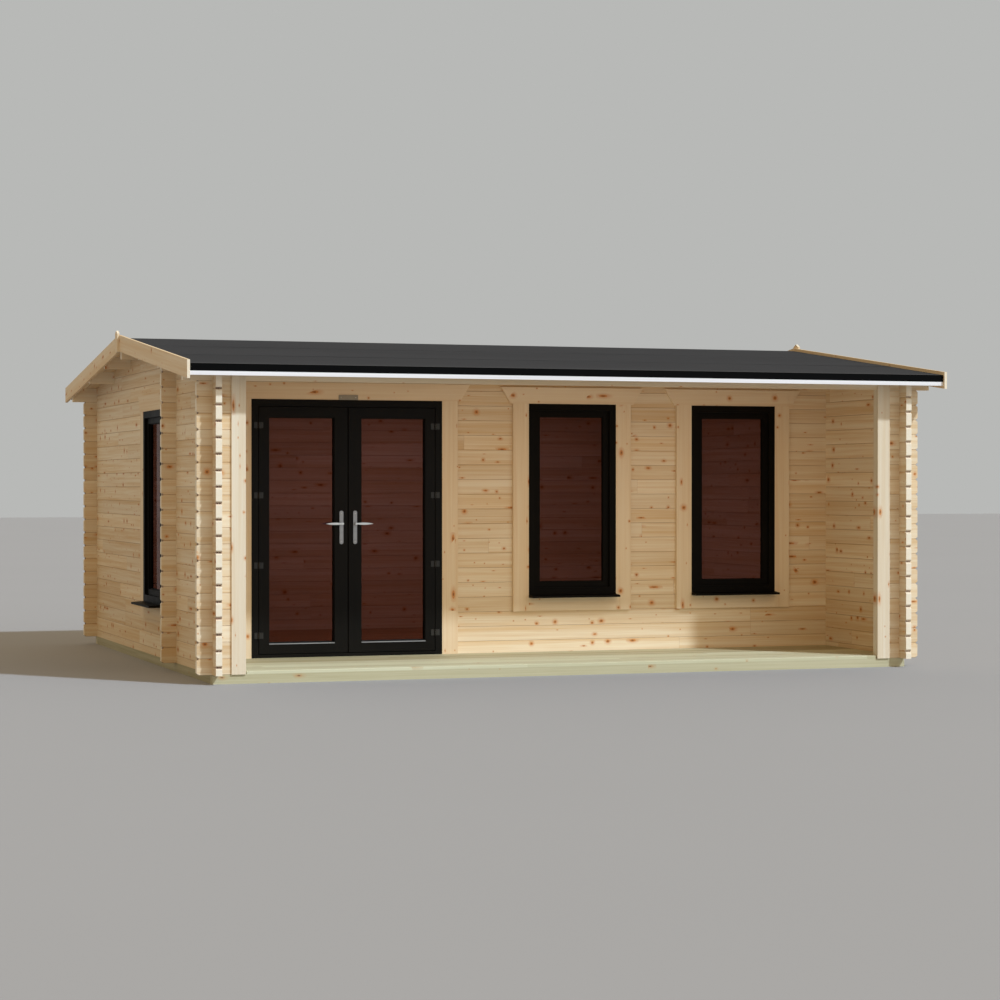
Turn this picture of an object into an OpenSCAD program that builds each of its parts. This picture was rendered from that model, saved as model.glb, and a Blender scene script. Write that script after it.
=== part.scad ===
// Log cabin with a low ridge roof, an open porch and glazed double doors
// Front is -Y, right is +X, ground is z = 0, the origin is the middle of the plan

/* [Logs] */
// Thickness of a wall log
log_t = 44; // [34:1:70]
// Height of one course of logs
log_h = 112; // [108:1:120]
// Full courses from the bearers to the eaves
log_courses = 18; // [18:1:20]
// Length of the log tips past a crossing wall
log_tip = 110; // [80:1:160]
// Chamfer along the joints between logs
groove = 3; // [2:0.5:7]
// Corner cut off a log tip, along the log
tip_cut_l = 14; // [6:1:24]
// Corner cut off a log tip, up the log
tip_cut_h = 15; // [6:1:24]
// Width of a tongue slot in a log tip
slot_w = 7; // [4:0.5:10]
// Height of a tongue slot in a log tip
slot_h = 10; // [6:0.5:14]
// Depth of a tongue slot in a log tip
slot_l = 40; // [20:1:70]

/* [Plan] */
// Width over the outer faces of the side walls
cabin_w = 5300; // [5200:10:6000]
// Depth from the porch stubs to the back wall, outer faces
cabin_d = 4690; // [4500:10:5400]
// Depth of the porch, outer face to outer face
porch_d = 1235; // [1000:5:1400]

/* [Base and floor] */
// Height of the bearers
bearer_h = 65; // [45:1:100]
// Width of the bearers
bearer_w = 70; // [50:1:100]
// Thickness of the floor boards
floor_t = 22; // [18:1:28]
// Gap between the floors and what they end at
floor_gap = 4; // [2:1:10]
// Number of joists under the room
joists = 4; // [2:1:6]

/* [Porch posts] */
// Width of a post
post_w = 100; // [80:1:140]
// Thickness of the post's cheeks in front of and behind the logs
post_cheek = 13; // [8:1:25]
// Distance from the side wall's outer face to the post
post_set = 131; // [100:1:200]
// How far the stub logs reach into the post
post_slot = 30; // [15:1:50]
// Gap between the deck and the post
post_gap = 9; // [3:1:15]

/* [Roof] */
// Pitch of the roof in degrees
pitch = 6.9; // [6:0.1:8]
// Roof overhang past the front and back walls
eave_over = 221; // [180:1:300]
// Roof overhang past the side walls, to the bargeboards' outer face
verge_over = 225; // [180:1:300]
// Thickness of the roof boards
board_t = 19; // [15:1:25]
// Thickness of the roofing felt
felt_t = 3; // [2:0.5:6]
// Height of the felt's turn-down over the eaves
felt_turn = 52; // [30:1:70]
// Height of the drip strip under the turn-down
drip_h = 28; // [15:1:40]
// Thickness of the eaves fascia
fascia_t = 18; // [12:1:28]
// Thickness of the bargeboards
barge_t = 20; // [15:1:30]
// Depth of the bargeboards
barge_h = 125; // [110:1:160]
// Height of the bargeboards over the felt
barge_lift = 24; // [10:1:40]
// How far the bargeboards pass the fascia
barge_nose = 21; // [5:1:40]
// Width of the gable finials
finial_w = 90; // [60:1:140]
// Thickness of the gable finials
finial_t = 18; // [12:1:28]
// Height of the gable finials
finial_h = 165; // [130:1:220]
// How far the finial's point stands over the bargeboards
finial_lift = 32; // [15:1:60]
// Width of the purlins
purlin_w = 44; // [40:1:70]
// Depth of the purlins between ridge and eaves
purlin_h = 92; // [70:1:130]
// Depth of the ridge purlin
ridge_h = 140; // [110:1:180]
// Distance from the walls' outer faces to where the purlins' even spacing ends
purlin_end = 140; // [60:1:200]
// Purlins on each slope, between ridge and eaves
purlins = 2; // [1:1:3]

/* [Door] */
// Part of the spare front wall that is left of the door's head board
spare_left = 288; // [250:0.5:320]
// Part of the spare front wall between the head boards of door and window
spare_door = 249.5; // [220:0.5:280]
// Width over the door frame
door_w = 1474; // [1400:1:1500]
// Height over the door frame, from the floor
door_h = 1915; // [1850:1:1930]
// Face width of the door frame
door_frame_w = 52; // [40:1:70]
// Depth of the stop behind the door leaves
stop_w = 18; // [10:1:25]
// Thickness of the stop
stop_t = 9; // [6:1:12]
// Height of the threshold over the floor
threshold_h = 25; // [15:1:35]
// Gap round the moving leaves
leaf_gap = 5; // [5:0.5:8]
// Thickness of a leaf
leaf_t = 56; // [44:1:58]
// Face width of a leaf's hinge stile and top rail
stile_w = 76; // [60:1:100]
// Face width of a leaf's meeting stile
meeting_w = 99; // [85:1:120]
// Face height of a leaf's bottom rail
rail_w = 80; // [60:1:120]

/* [Door ironwork] */
// Height of a hinge
hinge_h = 45; // [40:1:60]
// Width over both flags of a hinge
hinge_w = 68; // [50:1:80]
// Thickness of a hinge flag
flag_t = 4; // [3:0.5:5]
// Radius of a hinge knuckle
knuckle_r = 8; // [7:0.5:8.5]
// Radius of a hinge pin
hinge_pin_r = 4; // [3:0.5:5]
// Hinges on a leaf
hinges = 4; // [2:1:5]
// Distance of the end hinges from the leaf's ends
hinge_set = 136; // [80:1:200]
// Height of the lever over the floor
lever_z = 991; // [850:1:1100]
// Distance of the lever from the meeting line
lever_set = 53; // [48:1:58]
// Length of a lever
lever_l = 130; // [110:1:150]
// Height of a lever at its middle
lever_h = 17; // [12:1:20]
// Thickness of a lever
lever_t = 12; // [8:1:16]
// Distance from the handle plate to the lever
lever_off = 41; // [25:1:45]
// Radius of the lever's neck
neck_r = 9; // [7:0.5:10]
// Radius of the spindle through the leaf
spindle_r = 5; // [4:0.5:6]
// Width of a handle plate
plate_w = 29; // [28:1:40]
// Height of a handle plate
plate_h = 249; // [200:1:280]
// Height of the lever over the foot of the plate
plate_drop = 152; // [110:1:170]
// Thickness of a handle plate
plate_t = 9; // [6:1:12]
// Radial clearance of the pins and necks
fit = 0.05; // [0.02:0.01:0.1]
// Width of the cover plate over the door frame
cover_w = 148; // [120:1:200]
// Height of the cover plate
cover_h = 37; // [25:1:50]
// Thickness of the cover plate
cover_t = 6; // [4:1:10]
// Offset of the cover plate from the middle of the doorway
cover_x = 3; // [-100:1:100]

/* [Windows] */
// Part of the spare front wall between the windows' head boards
spare_windows = 190; // [160:0.5:220]
// Part of the spare front wall that is right of the last head board
spare_right = 236.5; // [200:0.5:270]
// Middle of the side window along the left wall
side_window_y = -322; // [-360:1:200]
// Width over a window frame
window_w = 715; // [650:1:740]
// Height of a window over its sill
window_h = 1464; // [1400:1:1480]
// How far the heads of the front windows are under the head of the door
head_step = 12; // [0:1:40]
// Face width of the outer frame
window_frame_w = 52; // [40:1:65]
// Face width of the sash
sash_w = 45; // [35:1:60]
// Set-back of the sash from the frame
sash_back = 22; // [8:1:26]
// Thickness of a window sill
sill_t = 22; // [15:1:30]
// How far a sill stands out of the casing
sill_out = 95; // [60:1:120]

/* [Glass and casings] */
// Thickness of a sealed pane
pane_t = 14; // [8:1:16]
// Set-back of the glass from the sash or leaf
pane_back = 26; // [15:1:30]
// Rebate that holds the edge of a pane
rebate = 12; // [8:1:16]
// Thickness of the casing boards
casing_t = 25; // [18:1:28]
// Width of the casing boards
casing_w = 126; // [110:1:128]
// How far the frames stand out of the casing
frame_out = 2; // [1:1:8]
// Overhang of a head board past the uprights, at its foot
head_foot = 20; // [0:1:40]
// Overhang of a head board past the uprights, at its top
head_top = 98; // [60:1:120]

/* [Hidden] */
eps = 0.01;
far = 9000;
pine = [0.86, 0.74, 0.54];
pine_dark = [0.78, 0.62, 0.40];
treated = [0.76, 0.76, 0.58];
black = [0.07, 0.065, 0.06];
felt_grey = [0.17, 0.17, 0.18];
white = [0.90, 0.90, 0.90];
steel = [0.62, 0.61, 0.60];
tint = [0.27, 0.15, 0.13, 0.6];

// Walls in plan: front and back faces, and the courses' starting heights
half_w = cabin_w / 2;
half_d = cabin_d / 2;
main_y = -half_d + porch_d;
tip_x = half_w + log_tip;
tip_y = half_d + log_tip;
floor_z = bearer_h + floor_t;
eave_z = bearer_h + log_courses * log_h;
cross_base = bearer_h;
side_base = bearer_h + log_h / 2;
side_cells = [-half_w, half_w - log_t];
cross_cells = [-half_d, main_y, half_d - log_t];

// Roof heights: undersides follow the wall height, so the eave logs are one course deep
slope = tan(pitch);
roof_lap = (board_t + felt_t) / cos(pitch);
felt_dz = felt_t / cos(pitch);
bed = 0.05;
under_ridge = eave_z + log_h + slope * half_d;
eave_y = half_d + eave_over;
barge_x = half_w + verge_over;
roof_x = barge_x - barge_t;
fascia_y = eave_y - felt_t;
felt_eave_z = under_ridge + roof_lap - slope * eave_y;
turn_z = felt_eave_z - felt_turn;
drip_z = turn_z - drip_h;
purlin_step = (half_d - purlin_end) / (purlins + 1);

// Door and windows in the front wall: the head boards share out what the wall has to spare
head_side = casing_w + head_top;
spare = cabin_w - 2 * log_t - door_w - 2 * window_w - 6 * head_side;
spare_unit = spare / (spare_left + spare_door + spare_windows + spare_right);
door_x = -half_w + log_t + spare_left * spare_unit + head_side + door_w / 2;
window_1_x = door_x + door_w / 2 + spare_door * spare_unit + 2 * head_side + window_w / 2;
window_2_x = window_1_x + spare_windows * spare_unit + 2 * head_side + window_w;
frame_y = main_y - casing_t - frame_out;
frame_back = main_y + log_t;
door_l = door_x - door_w / 2;
door_r = door_x + door_w / 2;
door_top = floor_z + door_h;
leaf_w = door_w / 2 - door_frame_w - 2 * leaf_gap;
leaf_z0 = floor_z + threshold_h + leaf_gap;
leaf_z1 = door_top - door_frame_w - leaf_gap;
leaf_back = frame_y + leaf_t;
hinge_y = frame_y - knuckle_r - 1;
hinge_x = door_w / 2 - door_frame_w - leaf_gap / 2;
hinge_gap = 0.5;
window_z1 = door_top - head_step;
window_z0 = window_z1 - window_h;
sill_low = window_z0 - sill_t;
front_windows = [window_1_x, window_2_x];
side_drop = log_h / 2;
side_frame_x = -half_w - casing_t - frame_out;
lever_zz = floor_z + lever_z;

// Joints at which the walls are parted round their openings
head_joint = cross_base + log_h * floor((window_z1 - cross_base) / log_h);
foot_joint = cross_base + log_h * ceil((sill_low - cross_base) / log_h);

// Height of the roof boards' underside at a distance from the ridge
function under_z(y) = under_ridge - slope * abs(y);

// Heights of the joints between z0 and z1 in courses that start at base
function joints(z0, z1, base) = [
    for (j = [0 : log_courses + 8])
        let (z = base + j * log_h)
        if (z > z0 - eps && z < z1 + eps) z
];

function on_joint(z, base) = len(joints(z, z, base)) > 0;

// One face of a log stack, going up, chamfered at every joint
function log_face(y, inward, z0, z1, base) = concat(
    on_joint(z0, base) ? [[y + inward * groove, z0], [y, z0 + groove]] : [[y, z0]],
    [for (z = joints(z0 + 2 * groove, z1 - 2 * groove, base))
        each [[y, z - groove], [y + inward * groove, z], [y, z + groove]]],
    on_joint(z1, base) ? [[y, z1 - groove], [y + inward * groove, z1]] : [[y, z1]]
);

function reversed(list) = [for (i = [len(list) - 1 : -1 : 0]) list[i]];

// Section of stacked logs, front face at 0, with its own top height at each face
module log_section(z0, z1_front, z1_back, base) {
    polygon(concat(
        log_face(0, 1, z0, z1_front, base),
        reversed(log_face(log_t, -1, z0, z1_back, base))
    ));
}

// V cuts that take the corners off the log tips at one end; way is 1 or -1
module tip_cuts(a, way, z0, z1, base) {
    for (z = joints(z0, z1, base))
        polygon([[a + way, z - tip_cut_h - 1], [a + way, z + tip_cut_h + 1],
            [a - way * tip_cut_l, z]]);
}

// Notches for the logs of crossing walls, a quarter of a course each side of the joints
module cross_notches(cells, z0, z1, base) {
    for (a = cells)
        for (z = joints(z0, z1, base))
            translate([a, z - log_h / 4]) square([log_t, log_h / 2]);
}

// Pairs of tongue slots in the log tips at one end
module tongue_slots(a, way, z0, z1, base) {
    for (z = joints(z0 + 2 * groove, z1 - 2 * groove, base))
        for (y = [log_t * 0.3, log_t * 0.7])
            translate([way > 0 ? a - slot_l : a - 1, y - slot_w / 2, z - slot_h / 2])
                cube([slot_l + 1, slot_w, slot_h]);
}

// Stacked logs along X from a0 to a1, front face at y = 0; ends lists the ways that end in tips
// and cells the places of crossing walls; children are further cuts, drawn along X and up
module log_stack(a0, a1, z0, z1, base, ends = [], cells = [], top_drop = 0) {
    color(pine) difference() {
        translate([a0, 0, 0]) rotate([90, 0, 90]) linear_extrude(a1 - a0)
            log_section(z0, z1 - top_drop, z1, base);
        translate([0, log_t + 1, 0]) rotate([90, 0, 0]) linear_extrude(log_t + 2) {
            for (way = ends) tip_cuts(way > 0 ? a1 : a0, way, z0, z1, base);
            cross_notches(cells, z0, z1, base);
            children();
        }
        for (way = ends) tongue_slots(way > 0 ? a1 : a0, way, z0, z1, base);
    }
}

// Lays a wall along Y with its outer face at x
module left_wall_place() { translate([-half_w + log_t, 0, 0]) rotate([0, 0, 90]) children(); }
module right_wall_place() { translate([half_w, 0, 0]) rotate([0, 0, 90]) children(); }
module front_wall_place() { translate([0, main_y, 0]) children(); }

// Everything over the roof boards' underside, and the purlins' seats, across a gable
module gable_cut() {
    polygon([[-far, under_z(far)], [0, under_ridge], [far, under_z(far)], [far, far], [-far, far]]);
    for (s = [-1, 1]) {
        for (i = [1 : purlins])
            translate([s * i * purlin_step - purlin_w / 2, purlin_low(i)]) square([purlin_w, far]);
        translate([s > 0 ? half_d - log_t : -half_d, eave_z + log_h / 4]) square([log_t, far]);
    }
    translate([-purlin_w / 2, under_ridge - ridge_h]) square([purlin_w, far]);
}

function purlin_low(i) = under_z(i * purlin_step) - purlin_h;

module window_hole(a, drop = 0) {
    translate([a - window_w / 2, sill_low - drop]) square([window_w, window_h + sill_t]);
}

module door_hole() {
    translate([door_l, bearer_h - 1]) square([door_w, floor_t + door_h + 1]);
}

// Base and floors
module side_bearers() {
    color(treated) for (s = [-1, 1])
        translate([s > 0 ? half_w - bearer_w : -half_w, -half_d + bearer_w, 0])
            cube([bearer_w, cabin_d - 2 * bearer_w, bearer_h]);
}

module cross_bearers() {
    room_step = (half_d - bearer_w - main_y - bearer_w) / (joists + 1);
    inner = cabin_w - 2 * bearer_w;
    color(treated) {
        for (y = [-half_d, half_d - bearer_w])
            translate([-half_w, y, 0]) cube([cabin_w, bearer_w, bearer_h]);
        translate([-inner / 2, (main_y - half_d) / 2, 0]) cube([inner, bearer_w, bearer_h]);
        for (i = [0 : joists])
            translate([-inner / 2, main_y + i * room_step, 0]) cube([inner, bearer_w, bearer_h]);
    }
}

module porch_deck() {
    inner = half_w - log_t - floor_gap;
    front = half_w - post_set - post_w - post_gap;
    behind = -half_d + log_t + post_cheek + post_gap;
    color(treated) translate([0, 0, bearer_h]) linear_extrude(floor_t) polygon([
        [-front, -half_d], [front, -half_d], [front, behind], [inner, behind],
        [inner, main_y - floor_gap], [-inner, main_y - floor_gap], [-inner, behind], [-front, behind]
    ]);
}

module room_floor() {
    inner = half_w - log_t - floor_gap;
    y0 = main_y + log_t + floor_gap;
    color(pine_dark) translate([-inner, y0, bearer_h])
        cube([2 * inner, half_d - log_t - floor_gap - y0, floor_t]);
}

// Walls
module front_wall_left() {
    front_wall_place() log_stack(-tip_x, door_l, cross_base, head_joint, cross_base, [-1], side_cells);
}

module front_wall_lower() {
    front_wall_place()
        log_stack(door_r, tip_x, cross_base, foot_joint, cross_base, [1], side_cells)
            for (x = front_windows) window_hole(x);
}

module front_wall_piers() {
    edges = [door_r, window_1_x - window_w / 2, window_1_x + window_w / 2,
        window_2_x - window_w / 2, window_2_x + window_w / 2, tip_x];
    front_wall_place() for (i = [0 : 2])
        log_stack(edges[2 * i], edges[2 * i + 1], foot_joint, head_joint, cross_base,
            i == 2 ? [1] : [], i == 2 ? side_cells : []);
}

module front_wall_header() {
    front_wall_place()
        log_stack(-tip_x, tip_x, head_joint, under_z(main_y + log_t), cross_base, [-1, 1], side_cells,
            slope * log_t) {
            for (x = front_windows) window_hole(x);
            door_hole();
        }
}

module back_wall() {
    translate([0, half_d - log_t, 0])
        log_stack(-tip_x, tip_x, cross_base, eave_z, cross_base, [-1, 1], side_cells);
}

module front_stubs() {
    reach = half_w - post_set - post_slot;
    translate([0, -half_d, 0]) {
        log_stack(-tip_x, -reach, cross_base, eave_z, cross_base, [-1], side_cells);
        log_stack(reach, tip_x, cross_base, eave_z, cross_base, [1], side_cells);
    }
}

module left_gable_lower() {
    left_wall_place()
        log_stack(-tip_y, tip_y, bearer_h, foot_joint - side_drop, side_base, [-1, 1], cross_cells)
            window_hole(side_window_y, side_drop);
}

module left_gable_front() {
    left_wall_place()
        log_stack(-tip_y, side_window_y - window_w / 2, foot_joint - side_drop, head_joint - side_drop,
            side_base, [-1], cross_cells);
}

module left_gable_rear() {
    left_wall_place()
        log_stack(side_window_y + window_w / 2, tip_y, foot_joint - side_drop, head_joint - side_drop,
            side_base, [1], cross_cells);
}

module left_gable_top() {
    left_wall_place()
        log_stack(-tip_y, tip_y, head_joint - side_drop, under_ridge, side_base, [-1, 1], cross_cells) {
            window_hole(side_window_y, side_drop);
            gable_cut();
        }
}

module right_gable_wall() {
    right_wall_place()
        log_stack(-tip_y, tip_y, bearer_h, under_ridge, side_base, [-1, 1], cross_cells) gable_cut();
}

// Porch posts, slotted over the stub logs and forked round the eave purlin
module porch_posts() {
    y0 = -half_d - post_cheek;
    depth = log_t + 2 * post_cheek;
    x0 = half_w - post_set - post_w;
    color(pine) for (s = [-1, 1]) difference() {
        translate([s > 0 ? x0 : -x0 - post_w, y0, bearer_h])
            cube([post_w, depth, under_z(y0) - bearer_h]);
        translate([s > 0 ? x0 + post_w - post_slot : -x0 - post_w - 1, -half_d, bearer_h - 1])
            cube([post_slot + 1, log_t, far]);
        translate([s > 0 ? x0 - 1 : -x0 - post_w - 1, -half_d, eave_z])
            cube([post_w + 2, log_t, far]);
    }
}

// Roof timbers, drawn in the plane across the ridge and run out to the bargeboards
module along_roof(length = 2 * roof_x) {
    translate([-length / 2, 0, 0]) rotate([90, 0, 90]) linear_extrude(length) children();
}

// Timber from y0 to y1 with a level underside and a top planed to the slope
module sloped_timber(y0, y1, low) {
    along_roof() polygon([[y0, low], [y1, low], [y1, under_z(y1)], [y0, under_z(y0)]]);
}

module eave_purlins() {
    color(pine) for (s = [-1, 1]) difference() {
        sloped_timber(s > 0 ? half_d - log_t : -half_d, s > 0 ? half_d : -half_d + log_t, eave_z);
        for (x = side_cells)
            translate([x, s * (half_d - log_t / 2) - log_t / 2 - 1, eave_z - 1])
                cube([log_t, log_t + 2, log_h / 4 + 1]);
    }
}

module ridge_purlin() {
    w = purlin_w / 2;
    color(pine) along_roof() polygon([
        [-w, under_ridge - ridge_h], [w, under_ridge - ridge_h],
        [w, under_z(w)], [0, under_ridge], [-w, under_z(w)]
    ]);
}

module roof_purlins() {
    color(pine) for (s = [-1, 1])
        for (i = [1 : purlins])
            let (y = s * i * purlin_step)
            sloped_timber(y - purlin_w / 2, y + purlin_w / 2, purlin_low(i));
}

// A sheet on one slope from the ridge to y1, between two heights over the boards' underside
module slope_sheet(s, y1, low, high) {
    along_roof() polygon([
        [0, under_ridge + low], [s * y1, under_z(y1) + low],
        [s * y1, under_z(y1) + high], [0, under_ridge + high]
    ]);
}

module roof_boards(s) {
    color(pine) slope_sheet(s, fascia_y - fascia_t, bed, roof_lap - felt_dz);
}

module front_roof_boards() { roof_boards(-1); }
module back_roof_boards() { roof_boards(1); }

// Felt with its edge turned down over the fascia
module felt(s) {
    color(felt_grey) {
        slope_sheet(s, eave_y, roof_lap - felt_dz + bed, roof_lap);
        along_roof() polygon([
            [s * fascia_y, turn_z], [s * eave_y, turn_z],
            [s * eave_y, felt_eave_z - felt_dz / 2], [s * fascia_y, felt_eave_z - felt_dz / 2]
        ]);
    }
}

module front_felt() { felt(-1); }
module back_felt() { felt(1); }

module fascia_boards() {
    top = roof_lap - felt_dz;
    y0 = fascia_y - fascia_t;
    color(pine_dark) for (s = [-1, 1]) along_roof() polygon([
        [s * y0, drip_z], [s * fascia_y, drip_z],
        [s * fascia_y, under_z(fascia_y) + top], [s * y0, under_z(y0) + top]
    ]);
}

module drip_strips() {
    color(white) for (s = [-1, 1]) along_roof()
        translate([s > 0 ? fascia_y : -eave_y, drip_z]) square([felt_t, drip_h]);
}

module bargeboards(s) {
    top = roof_lap + barge_lift;
    y1 = eave_y + barge_nose;
    color(pine) for (x = [-barge_x, roof_x]) translate([x, 0, 0])
        rotate([90, 0, 90]) linear_extrude(barge_t) polygon([
            [0, under_ridge + top - barge_h], [s * y1, under_z(y1) + top - barge_h],
            [s * y1, under_z(y1) + top], [0, under_ridge + top]
        ]);
}

module front_bargeboards() { bargeboards(-1); }
module back_bargeboards() { bargeboards(1); }

// Pointed plates that cover the bargeboards' joints
module gable_finials() {
    tip = under_ridge + roof_lap + barge_lift + finial_lift;
    shoulder = tip - finial_w / 4;
    w = finial_w / 2;
    color(pine) for (x = [-barge_x - finial_t, barge_x]) translate([x, 0, 0])
        rotate([90, 0, 90]) linear_extrude(finial_t) polygon([
            [-w, tip - finial_h], [w, tip - finial_h], [w, shoulder], [0, tip], [-w, shoulder]
        ]);
}

// Door frame, with a stop behind the leaves
module door_jambs() {
    stop_y = frame_back - stop_t;
    color(black) for (s = [-1, 1]) translate([door_x, 0, floor_z]) linear_extrude(door_h) polygon([
        [s * door_w / 2, frame_y], [s * (door_w / 2 - door_frame_w), frame_y],
        [s * (door_w / 2 - door_frame_w), stop_y], [s * (door_w / 2 - door_frame_w - stop_w), stop_y],
        [s * (door_w / 2 - door_frame_w - stop_w), frame_back], [s * door_w / 2, frame_back]
    ]);
}

module door_bar(outline) {
    w = door_w - 2 * door_frame_w;
    color(black) difference() {
        translate([door_x - w / 2, 0, 0]) rotate([90, 0, 90]) linear_extrude(w) polygon(outline);
        for (s = [-1, 1])
            translate([door_x + s * (w / 2 - stop_w / 2) - stop_w / 2, frame_back - stop_t, floor_z])
                cube([stop_w, far, far]);
    }
}

module door_head() {
    low = door_top - door_frame_w;
    stop_y = frame_back - stop_t;
    door_bar([[frame_y, low], [stop_y, low], [stop_y, low - stop_w], [frame_back, low - stop_w],
        [frame_back, door_top], [frame_y, door_top]]);
}

module door_threshold() {
    high = floor_z + threshold_h;
    stop_y = frame_back - stop_t;
    door_bar([[frame_y, floor_z], [main_y, floor_z], [main_y, bearer_h], [frame_back, bearer_h],
        [frame_back, high + stop_w], [stop_y, high + stop_w], [stop_y, high], [frame_y, high]]);
}

// Casing boards, drawn across the wall and up, then stood out of the wall's face
module front_casing_place() {
    translate([0, main_y, 0]) rotate([90, 0, 0]) linear_extrude(casing_t) children();
}

module side_casing_place() {
    translate([-half_w, 0, -side_drop]) rotate([90, 0, -90]) linear_extrude(casing_t) children();
}

module uprights(a, w, z0, z1) {
    for (s = [-1, 1]) translate([a + s * (w + casing_w) / 2 - casing_w / 2, z0])
        square([casing_w, z1 - z0]);
}

module head_board(a, w, z) {
    foot = w / 2 + casing_w + head_foot;
    top = w / 2 + casing_w + head_top;
    translate([a, z]) polygon([[-foot, 0], [foot, 0], [top, casing_w], [-top, casing_w]]);
}

module foot_board(a, w, z) {
    translate([a - w / 2, window_z0 - casing_w]) square([w, z - window_z0 + casing_w]);
}

module casing_uprights() {
    color(pine) {
        front_casing_place() {
            uprights(door_x, door_w, floor_z, door_top);
            for (x = front_windows) uprights(x, window_w, window_z0 - casing_w, window_z1);
        }
        side_casing_place() uprights(-side_window_y, window_w, window_z0 - casing_w, window_z1);
    }
}

module casing_boards() {
    color(pine) {
        front_casing_place() {
            head_board(door_x, door_w, door_top);
            for (x = front_windows) {
                head_board(x, window_w, window_z1);
                foot_board(x, window_w, sill_low);
            }
        }
        side_casing_place() {
            head_board(-side_window_y, window_w, window_z1);
            foot_board(-side_window_y, window_w, sill_low);
        }
    }
}

module cover_plate() {
    color(steel) translate([door_x + cover_x - cover_w / 2, main_y - casing_t - cover_t, door_top])
        cube([cover_w, cover_t, cover_h]);
}

// Windows, built at the origin with the outer face at y = 0 and the foot at z = 0
module window_ring() {
    depth = frame_back - frame_y;
    glass_w = window_w - 2 * (window_frame_w + sash_w);
    glass_h = window_h - 2 * (window_frame_w + sash_w);
    glass_y = sash_back + pane_back;
    difference() {
        translate([-window_w / 2, 0, 0]) cube([window_w, depth, window_h]);
        translate([-window_w / 2 + window_frame_w, -1, window_frame_w])
            cube([window_w - 2 * window_frame_w, sash_back + 1, window_h - 2 * window_frame_w]);
        translate([-glass_w / 2, -1, (window_h - glass_h) / 2]) cube([glass_w, depth + 2, glass_h]);
        translate([-glass_w / 2 - rebate, glass_y, (window_h - glass_h) / 2 - rebate])
            cube([glass_w + 2 * rebate, depth, glass_h + 2 * rebate]);
    }
}

module window_pane() {
    w = window_w - 2 * (window_frame_w + sash_w - rebate);
    h = window_h - 2 * (window_frame_w + sash_w - rebate);
    translate([-w / 2, sash_back + pane_back, (window_h - h) / 2]) cube([w, pane_t, h]);
}

// Sill with a sloped top that runs from the back of the frame out past the casing
module window_sill() {
    depth = frame_back - frame_y;
    translate([-window_w / 2, 0, 0]) rotate([90, 0, 90]) linear_extrude(window_w) polygon([
        [-sill_out, -sill_t], [depth, -sill_t], [depth, 0], [0, 0], [-sill_out, -sill_t / 3]
    ]);
}

module at_windows() {
    for (x = front_windows) translate([x, frame_y, window_z0]) children();
    translate([side_frame_x, side_window_y, window_z0 - side_drop]) rotate([0, 0, -90]) children();
}

module window_frames() { color(black) at_windows() window_ring(); }
module window_panes() { color(tint) at_windows() window_pane(); }
module window_sills() { color(black) at_windows() window_sill(); }

// Door leaves, built for the left side; the right one is its mirror image
module at_side(s) { translate([door_x, 0, 0]) mirror([s > 0 ? 1 : 0, 0, 0]) children(); }

leaf_x0 = -door_w / 2 + door_frame_w + leaf_gap;
glass_x0 = leaf_x0 + stile_w;
glass_x1 = -leaf_gap - meeting_w;
glass_z0 = leaf_z0 + rail_w;
glass_z1 = leaf_z1 - stile_w;

module leaf(s) {
    color(black) at_side(s) difference() {
        translate([leaf_x0, frame_y, leaf_z0]) cube([leaf_w, leaf_t, leaf_z1 - leaf_z0]);
        translate([glass_x0, frame_y - 1, glass_z0])
            cube([glass_x1 - glass_x0, leaf_t + 2, glass_z1 - glass_z0]);
        translate([glass_x0 - rebate, frame_y + pane_back, glass_z0 - rebate])
            cube([glass_x1 - glass_x0 + 2 * rebate, leaf_t, glass_z1 - glass_z0 + 2 * rebate]);
        translate([-lever_set, leaf_back + 1, lever_zz]) rotate([90, 0, 0])
            cylinder(r = neck_r + 1, h = leaf_t + 2, $fn = 48);
    }
}

module pane(s) {
    color(tint) at_side(s) translate([glass_x0 - rebate, frame_y + pane_back, glass_z0 - rebate])
        cube([glass_x1 - glass_x0 + 2 * rebate, pane_t, glass_z1 - glass_z0 + 2 * rebate]);
}

module left_leaf() { leaf(-1); }
module right_leaf() { leaf(1); }
module left_pane() { pane(-1); }
module right_pane() { pane(1); }

// Butt hinges: the frame's knuckles are at both ends and carry the pin, the leaf's is between them
hinge_step = (leaf_z1 - leaf_z0 - 2 * hinge_set) / (hinges - 1);
hinge_end = hinge_h / 2;
hinge_mid = hinge_h / 6;

module at_hinges(s) {
    at_side(s) for (i = [0 : hinges - 1])
        translate([-hinge_x, hinge_y, leaf_z0 + hinge_set + i * hinge_step]) children();
}

module flag(way) {
    face = frame_y - hinge_y;
    translate([way > 0 ? leaf_gap / 2 : -hinge_w / 2, face - flag_t, -hinge_end])
        cube([hinge_w / 2 - leaf_gap / 2, flag_t, hinge_h]);
    translate([way > 0 ? 0 : -leaf_gap / 2, face - flag_t - hinge_gap, -hinge_end])
        cube([leaf_gap / 2, flag_t, hinge_h]);
}

module knuckle(z0, z1, r = knuckle_r) { translate([0, 0, z0]) cylinder(r = r, h = z1 - z0, $fn = 48); }

module frame_hinges() {
    k = hinge_mid + hinge_gap;
    color(steel) for (s = [-1, 1]) at_hinges(s) {
        difference() {
            flag(-1);
            knuckle(-k, k, knuckle_r + 1);
        }
        knuckle(-hinge_end, -k);
        knuckle(k, hinge_end);
        knuckle(-hinge_end, hinge_end, hinge_pin_r);
    }
}

module leaf_hinges(s) {
    color(steel) at_hinges(s) difference() {
        union() {
            difference() {
                flag(1);
                knuckle(-hinge_end - 1, -hinge_mid, knuckle_r + 1);
                knuckle(hinge_mid, hinge_end + 1, knuckle_r + 1);
            }
            knuckle(-hinge_mid, hinge_mid);
        }
        knuckle(-hinge_end, hinge_end, hinge_pin_r + fit);
    }
}

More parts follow.
